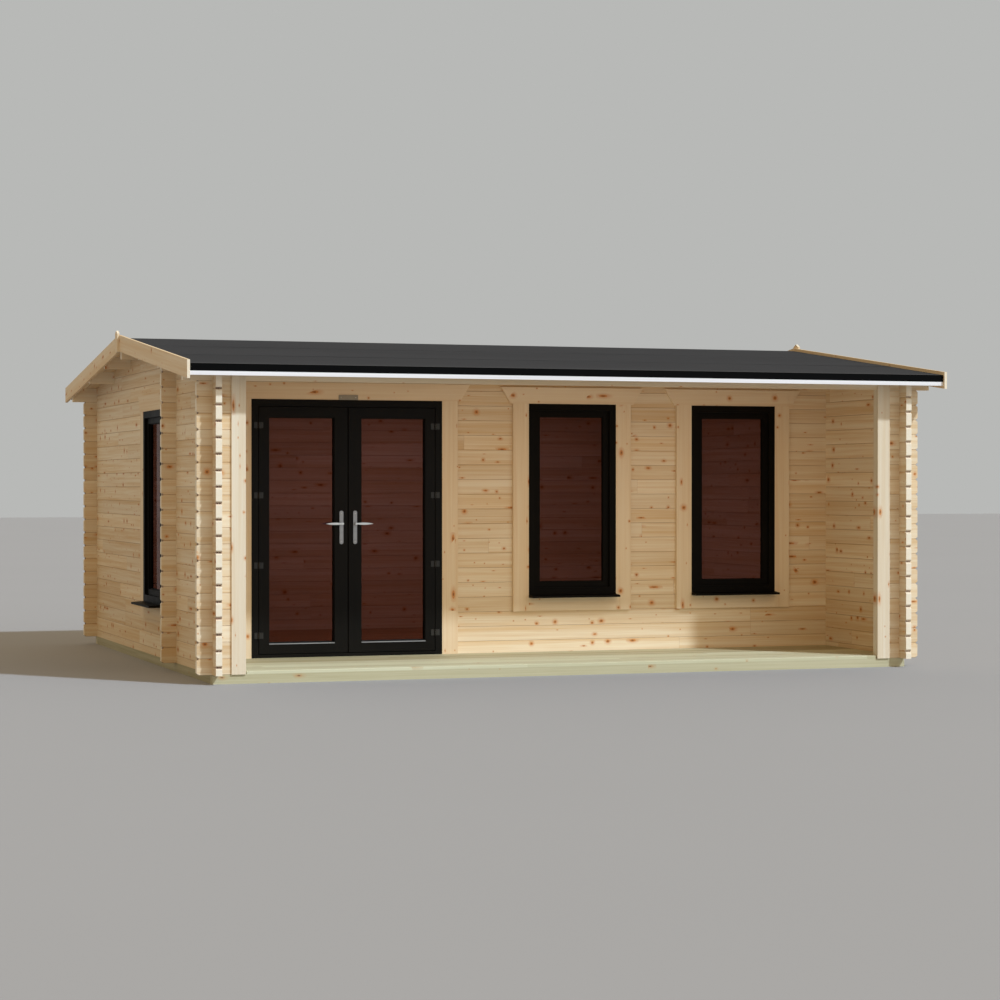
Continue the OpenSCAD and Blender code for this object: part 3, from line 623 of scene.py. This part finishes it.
class CABIN_OT_logs(Operator):
    """Coursed pine on the log walls, one finish for each run of the grain"""

    bl_idname = "cabin.logs"
    bl_label = "Log walls"

    def execute(self, context):
        ink_of = colours()
        pine = ink_of.pine_light, ink_of.pine_dark
        across = timber("pine_logs_across", "X", *pine, base=CROSS_BASE, tip=CROSS_TIP)
        deep = timber("pine_logs_deep", "Y", *pine, base=SIDE_BASE, seed=3.7, tip=SIDE_TIP)
        right = timber("pine_logs_right", "Y", *pine, base=SIDE_BASE, seed=8.3, tip=SIDE_TIP,
                       mark=0.5)
        paint(across, "front_wall_left", "front_wall_lower", "front_wall_piers",
              "front_wall_header", "back_wall", "front_stubs")
        paint(deep, "left_gable_lower", "left_gable_front", "left_gable_rear",
              "left_gable_top")
        paint(right, "right_gable_wall")
        return {"FINISHED"}


class CABIN_OT_boards(Operator):
    """Planed pine on posts, casings, purlins, fascias and bargeboards"""

    bl_idname = "cabin.boards"
    bl_label = "Planed boards"

    def execute(self, context):
        ink_of = colours()
        light = ink_of.pine_light
        dark = [0.45 * a + 0.55 * b for a, b in zip(light, ink_of.pine_dark)]
        sawn = [[c * k for c, k in zip(tone, (0.94, 0.89, 0.83))] for tone in (light, dark)]
        upright = timber("planed_pine_upright", "Z", *sawn, knots=0.44, seed=1.9)
        level = timber("planed_pine_level", "X", light, dark, knots=0.24, seed=5.3)
        front = timber("planed_pine_front_pitch", "Y", *sawn, 0.34, tilt=-PITCH, seed=2.2)
        back = timber("planed_pine_back_pitch", "Y", *sawn, 0.34, tilt=PITCH, seed=7.1)
        paint(upright, "casing_uprights", "gable_finials")
        # Partly painted light: a paler copy of the pine, for the sunlit fronts of the posts
        paint(timber("planed_pine_posts", "Z", ink_of.post_light, ink_of.post_dark, knots=0.5,
                     seed=7.7), "porch_posts")
        paint(timber("planed_pine_round", "round", *sawn, knots=0.4, seed=6.6), "casing_boards")
        paint(level, "eave_purlins", "ridge_purlin", "roof_purlins", "fascia_boards")
        paint(front, "front_bargeboards")
        paint(back, "back_bargeboards")
        return {"FINISHED"}


class CABIN_OT_base(Operator):
    """Pressure-treated bearers, and the deck laid as separate boards"""

    bl_idname = "cabin.base"
    bl_label = "Bearers and deck"

    def execute(self, context):
        ink_of, size = colours(), sizes()
        tones = ink_of.treated_light, ink_of.treated_dark
        shade = [[c * k for c, k in zip(tone, (0.82, 0.78, 0.72))] for tone in tones]
        paint(timber("treated_bearers_across", "X", *shade, knots=0.2, seed=2.8, wet=0.6),
              "cross_bearers")
        paint(timber("treated_bearers_deep", "Y", ink_of.bearer_light, ink_of.bearer_dark,
                     knots=0.1, seed=6.2, wet=0.6), "side_bearers")
        low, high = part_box("porch_deck")
        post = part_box("porch_posts")[1]
        behind, beside = post.y + POST_GAP, post.x - POST - POST_GAP
        rows = max(2, round((high.y - low.y) / size.deck_board))
        pitch = (high.y - low.y) / rows
        across = timber("treated_timber_deck", "X flat", *tones, 0.1, low.y, pitch, seed=4.4,
                        wet=0.6, shade_from=high.y - size.shaded_boards * pitch)
        bm = bmesh.new()
        for row in range(rows):
            y0 = low.y + row * pitch + (size.deck_gap / 2 if row else 0)
            y1 = low.y + (row + 1) * pitch - (size.deck_gap / 2 if row < rows - 1 else 0)
            reach = beside if y0 < behind else high.x
            board(bm, (-reach, y0, low.z), (reach, y1, high.z), 0, "top", size.joint)
        piece("deck_boards", bm, "cabin", "treated_timber", across, ["porch_deck"])
        return {"FINISHED"}


class CABIN_OT_floor(Operator):
    """The room's floor, laid as tongued boards"""

    bl_idname = "cabin.floor"
    bl_label = "Floor boards"

    def execute(self, context):
        ink_of, size = colours(), sizes()
        low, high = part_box("room_floor")
        rows = round((high.y - low.y) / size.floor_board)
        pitch = (high.y - low.y) / rows
        streaks = [c * 0.7 for c in ink_of.floor_pine]
        finish = timber("floor_boards", "X flat", ink_of.floor_pine, streaks, 0.36, low.y,
                        pitch, seed=8.6)
        bm = bmesh.new()
        for row in range(rows):
            y0 = low.y + row * pitch
            board(bm, (low.x, y0, low.z), (high.x, y0 + pitch, high.z), 0, "top",
                  size.floor_joint)
        piece("room_floor_boards", bm, "cabin", "floor_boards", finish, ["room_floor"])
        return {"FINISHED"}


class CABIN_OT_roof(Operator):
    """Roof boarding with open joints below, felt in lapped sheets and the drip strip"""

    bl_idname = "cabin.roof"
    bl_label = "Roof"

    def execute(self, context):
        ink_of, size = colours(), sizes()
        felt = roofing_felt("roofing_felt", ink_of.felt, ink_of.felt_highlight)
        paint(felt, "front_felt", "back_felt")
        trim = speckled("white_trim", ink_of.trim, 90.0, (0.5, 8.0, 60.0), 0.05, (0.3, 0.42))
        paint(trim, "drip_strips")
        for side, word in ((-1, "front"), (1, "back")):
            node = word + "_roof_boards"
            low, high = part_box(node)
            reach = max(abs(low.y), abs(high.y))
            rise = reach * SLOPE
            shear = Matrix.Identity(4)
            shear[2][1] = -side * SLOPE
            count = round((high.x - low.x) / size.roof_board)
            pitch = (high.x - low.x) / count
            finish = timber(f"roof_boards_{word}", "Y flat", ink_of.pine_light, ink_of.pine_dark,
                            0.3, low.x, pitch, side * PITCH, seed=3.1 + side)
            y0, y1 = sorted((0.0, side * reach))
            bm = bmesh.new()
            for row in range(count):
                x0 = low.x + row * pitch
                board(bm, (x0, y0, low.z + rise), (x0 + pitch, y1, high.z), 1, "under",
                      size.joint)
            bmesh.ops.transform(bm, matrix=shear, verts=bm.verts)
            piece(word + "_roof_boarding", bm, "cabin", "planed_pine", finish, [node])
            self.sheets(word, side, felt)
        return {"FINISHED"}

    def sheets(self, word, side, felt):
        """Upper sheets of felt, each lapped over the one below, with a lower edge that waves."""
        low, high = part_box(word + "_felt")
        width, thick = high.x - low.x - sizes().felt_inset, sizes().felt_sheet
        for number, reach in enumerate(FELT_REACH):
            bm = bmesh.new()
            bmesh.ops.create_grid(bm, x_segments=56, y_segments=6, size=0.5)
            bmesh.ops.scale(bm, vec=(width, reach, 1), verts=bm.verts)
            bmesh.ops.translate(bm, vec=(0, side * reach / 2, 0), verts=bm.verts)
            for v in bm.verts:
                edge = abs(v.co.y) / reach
                wave = math.sin(v.co.x * 3.1 + number) * math.sin(v.co.x * 1.3 + 2 * side)
                v.co.y += side * 0.004 * wave * (edge > 0.9)
                v.co.z = 0.0002 + 0.0003 * edge * (1 + wave) + number * thick
            bmesh.ops.recalc_face_normals(bm, faces=bm.faces)
            lifted = bmesh.ops.extrude_face_region(bm, geom=bm.faces[:])["geom"]
            top = [g for g in lifted if isinstance(g, bmesh.types.BMVert)]
            bmesh.ops.translate(bm, vec=(0, 0, thick), verts=top)
            shear = Matrix.Translation((0, 0, high.z))
            shear[2][1] = -side * SLOPE
            bmesh.ops.transform(bm, matrix=shear, verts=bm.verts)
            bmesh.ops.recalc_face_normals(bm, faces=bm.faces)
            piece(f"{word}_felt_sheet_{number + 1}", bm, "cabin", "roofing_felt", felt)


class CABIN_OT_frames(Operator):
    """Black frames, leaves and sills, with glazing beads round every pane"""

    bl_idname = "cabin.frames"
    bl_label = "Frames and beads"

    def execute(self, context):
        ink_of, size = colours(), sizes()
        black = speckled("black_frames", ink_of.frames, 500.0, (2.0, 2.0, 1.2), 0.18,
                         (0.36, 0.5), bump=0.0002, gloss=0.1)
        dull = speckled("black_frames_dull", ink_of.frames, 500.0, (2.0, 2.0, 1.2), 0.18,
                        (0.42, 0.55), bump=0.0002, gloss=0.04)
        paint(black, "door_jambs", "door_head", "door_threshold", "left_leaf", "right_leaf")
        paint(dull, "window_frames", "window_sills")
        bright = speckled("satin_steel_strip", ink_of.plate, 500.0, (4.0, 30.0, 30.0), 0.06,
                          (0.34, 0.44), 0.6, 0.0001)
        for word in ("left", "right"):
            low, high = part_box(word + "_pane")
            bm = bmesh.new()
            place = Matrix.Translation(((low.x + high.x) / 2, low.y, low.z + REBATE))
            ring(bm, high.x - low.x - 2 * REBATE, high.z - low.z - 2 * REBATE,
                 size.bead, size.bead_depth, size.bead / 2, place)
            piece(word + "_door_beads", bm, word + "_door", "black_frames", black)
            bm = bmesh.new()
            place = Matrix.Translation(((low.x + high.x) / 2, high.y, low.z))
            ring(bm, high.x - low.x, high.z - low.z, REBATE + size.bead, size.inner_bead,
                 size.bead / 2, place @ Matrix.Rotation(math.pi, 4, "Z"))
            piece(word + "_door_inner_beads", bm, word + "_door", "black_frames", black)
            bm = bmesh.new()
            face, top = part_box(word + "_leaf")[0].y, low.z + REBATE - size.strip_gap
            board(bm, (low.x + REBATE, face - size.strip, top - size.strip_height),
                  (high.x - REBATE, face, top), 0, "top", size.easing)
            piece(word + "_glass_strip", bm, word + "_door", "satin_steel", bright)
            self.seal(word, dull)
        low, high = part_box("window_panes")
        foot = high.z - REBATE - SIGHT_HEIGHT
        places = [Matrix.Translation((x, low.y, foot)) for x in FRONT_WINDOWS_X]
        places.append(Matrix.Translation((low.x, SIDE_WINDOW_Y, foot - SIDE_DROP))
                      @ Matrix.Rotation(-math.pi / 2, 4, "Z"))
        for number, place in enumerate(places):
            bm = bmesh.new()
            ring(bm, SIGHT_WIDTH, SIGHT_HEIGHT, size.bead, size.bead_depth, size.bead / 2, place)
            piece(f"window_beads_{number + 1}", bm, "cabin", "black_frames", dull)
        return {"FINISHED"}

    def seal(self, word, rubber):
        """A strip on the meeting edge of a leaf, one set behind the other so that they pass."""
        size = sizes()
        low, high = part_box(word + "_leaf")
        start, back = (high.x, 0.001) if word == "left" else (low.x - size.seal, 0.016)
        front = low.y + back
        bm = bmesh.new()
        board(bm, (start, front, low.z + size.seal),
              (start + size.seal, front + size.seal_depth, high.z - size.seal), 1, "top",
              size.easing)
        piece(word + "_meeting_seal", bm, word + "_door", "black_frames", rubber)


class CABIN_OT_glass(Operator):
    """Red-brown tint on the panes of doors and windows"""

    bl_idname = "cabin.glass"
    bl_label = "Tinted glass"

    def execute(self, context):
        glass = tinted_glass("tinted_glass", colours().glass)
        paint(glass, "left_pane", "right_pane", "window_panes")
        return {"FINISHED"}


class CABIN_OT_ironwork(Operator):
    """Metal on hinges, plates, levers and cover plate, and the screws that hold them"""

    bl_idname = "cabin.ironwork"
    bl_label = "Ironwork"

    def execute(self, context):
        ink_of, size = colours(), sizes()
        steel = speckled("satin_steel", ink_of.steel, 700.0, (3.0, 3.0, 30.0), 0.1,
                         (0.28, 0.4), 1.0, 0.0001)
        hinge = speckled("hinge_metal", ink_of.hinge, 600.0, (20.0, 20.0, 20.0), 0.12,
                         (0.34, 0.48), 0.8, 0.0001)
        plate = speckled("satin_steel_plate", ink_of.plate, 700.0, (3.0, 3.0, 30.0), 0.1,
                         (0.36, 0.46), 0.7, 0.0001)
        cover = speckled("grey_cover", ink_of.cover, 300.0, (8.0, 8.0, 8.0), 0.08, (0.45, 0.6))
        paint(steel, "left_lever", "right_lever")
        paint(plate, "left_plates", "right_plates")
        paint(hinge, "frame_hinges", "left_hinges", "right_hinges")
        paint(cover, "cover_plate")
        for word in ("left", "right"):
            low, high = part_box(word + "_plates")
            middle = (low.x + high.x) / 2
            bm = bmesh.new()
            for y, turn in ((low.y, math.pi / 2), (high.y, -math.pi / 2)):
                for z in (low.z + size.plate_screw, high.z - size.plate_screw):
                    place = Matrix.Translation((middle, y, z))
                    screw(bm, place @ Matrix.Rotation(turn, 4, "X"))
            bmesh.ops.recalc_face_normals(bm, faces=bm.faces)
            piece(word + "_plate_screws", bm, word + "_door", "satin_steel", steel)
        low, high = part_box("cover_plate")
        bm = bmesh.new()
        for x in (low.x + size.cover_screw, high.x - size.cover_screw):
            place = Matrix.Translation((x, low.y, (low.z + high.z) / 2))
            screw(bm, place @ Matrix.Rotation(math.pi / 2, 4, "X"))
        bmesh.ops.recalc_face_normals(bm, faces=bm.faces)
        piece("cover_screws", bm, "cabin", "satin_steel", steel)
        return {"FINISHED"}


class CABIN_OT_stage(Operator):
    """Plain pale floor, soft studio light and the camera"""

    bl_idname = "cabin.stage"
    bl_label = "Stage"

    def execute(self, context):
        scene, stage = context.scene, context.scene.cabin_stage
        bm = bmesh.new()
        bmesh.ops.create_grid(bm, x_segments=1, y_segments=1, size=90.0)
        mesh = bpy.data.meshes.new("floor")
        bm.to_mesh(mesh)
        bm.free()
        material, b, shader, coords = new_material("pale_floor")
        drift = b.noise(coords["Object"], 0.25, 3.0)
        worn = tint([c * 0.96 for c in stage.floor])
        b.put(shader.inputs["Base Color"], b.mix(drift, worn, tint(stage.floor)))
        shader.inputs["Roughness"].default_value = 0.85
        mesh.materials.append(material)
        floor = bpy.data.objects.new("floor", mesh)
        scene.collection.objects.link(floor)
        self.surround(scene, stage)
        self.lamp("key_sun", "SUN", (4, -6, 12), (-0.78, 1.0, -1.22), stage.sun,
                  stage.sun_colour, angle=0.05)
        self.lamp("front_fill", "SUN", (3, -12, 9), (-0.6, 1.0, -0.5), stage.fill,
                  stage.sun_colour, angle=1.0)
        bounce = self.lamp("porch_bounce", "AREA", (0.0, -2.28, 1.3), (0.0, 1.0, 0.0),
                           stage.bounce, stage.bounce_colour, shape="RECTANGLE", size=4.6,
                           size_y=1.6)
        room = self.lamp("room_light", "AREA", (-0.2, 0.6, 2.2), (0.0, 0.0, -1.0), stage.room,
                         stage.room_colour, shape="RECTANGLE", size=3.6, size_y=2.0)
        for lamp in (bounce, room):
            lamp.visible_camera = lamp.visible_glossy = lamp.visible_transmission = False
        camera = bpy.data.objects.new("camera", bpy.data.cameras.new("camera"))
        camera.data.lens = stage.lens
        camera.data.sensor_width = 36.0
        camera.data.clip_end = 400.0
        camera.location = stage.place
        camera.rotation_euler = (math.pi / 2 - stage.dip, 0.0, -stage.yaw)
        scene.collection.objects.link(camera)
        scene.camera = camera
        scene.view_settings.view_transform = "Standard"
        return {"FINISHED"}

    def lamp(self, name, kind, place, aim, power, shade, **settings):
        """A lamp at a place that shines along aim."""
        data = bpy.data.lights.new(name, kind)
        data.energy = power
        data.color = shade
        for key, value in settings.items():
            setattr(data, key, value)
        lamp = bpy.data.objects.new(name, data)
        lamp.location = place
        lamp.rotation_euler = Vector(aim).to_track_quat("-Z", "Y").to_euler()
        bpy.context.scene.collection.objects.link(lamp)
        return lamp

    def surround(self, scene, stage):
        """Even light from all round, and a plain pale backdrop where it is seen."""
        world = scene.world or bpy.data.worlds.new("surround")
        scene.world = world
        world.use_nodes = True
        tree = world.node_tree
        tree.nodes.clear()
        b = Bench(tree)
        lit = b.add("Background", {"Color": tint(stage.sky_colour), "Strength": stage.sky})
        seen = b.add("Background", {"Color": tint(stage.backdrop), "Strength": 1.0})
        ray = b.add("LightPath").outputs
        direct = b.math("MAXIMUM", ray["Is Camera Ray"], ray["Is Glossy Ray"])
        direct = b.math("MAXIMUM", direct, ray["Is Transmission Ray"])
        both = b.add("MixShader", {0: direct, 1: lit.outputs[0], 2: seen.outputs[0]})
        b.add("OutputWorld", {"Surface": both.outputs[0]})


class CABIN_PT_panel(Panel):
    """Lists the cabin's pieces and what can be changed on them"""

    bl_idname = "CABIN_PT_panel"
    bl_label = "Log Cabin"
    bl_space_type = "VIEW_3D"
    bl_region_type = "UI"
    bl_category = "Log Cabin"

    def draw(self, context):
        for operator in OPERATORS:
            self.layout.operator(operator.bl_idname)
        for group in GROUPS:
            settings = getattr(context.scene, group)
            box = self.layout.box()
            for key in settings.__annotations__:
                box.prop(settings, key)


OPERATORS = (
    CABIN_OT_logs, CABIN_OT_boards, CABIN_OT_base, CABIN_OT_floor, CABIN_OT_roof,
    CABIN_OT_frames, CABIN_OT_glass, CABIN_OT_ironwork, CABIN_OT_stage,
)
GROUPS = {
    "cabin_colours": CabinColours, "cabin_sizes": CabinSizes, "cabin_stage": CabinStage,
}


def register():
    for cls in (*GROUPS.values(), *OPERATORS, CABIN_PT_panel):
        bpy.utils.register_class(cls)
    for name, cls in GROUPS.items():
        setattr(bpy.types.Scene, name, PointerProperty(type=cls))


def unregister():
    for name in GROUPS:
        delattr(bpy.types.Scene, name)
    for cls in reversed((*GROUPS.values(), *OPERATORS, CABIN_PT_panel)):
        bpy.utils.unregister_class(cls)


def main():
    for name in ("Cube", "Light", "Camera"):
        if name in bpy.data.objects:
            bpy.data.objects.remove(bpy.data.objects[name])
    register()
    bpy.ops.cabin.logs()
    bpy.ops.cabin.boards()
    bpy.ops.cabin.base()
    bpy.ops.cabin.floor()
    bpy.ops.cabin.roof()
    bpy.ops.cabin.frames()
    bpy.ops.cabin.glass()
    bpy.ops.cabin.ironwork()
    bpy.ops.cabin.stage()


if __name__ == "__main__":
    main()
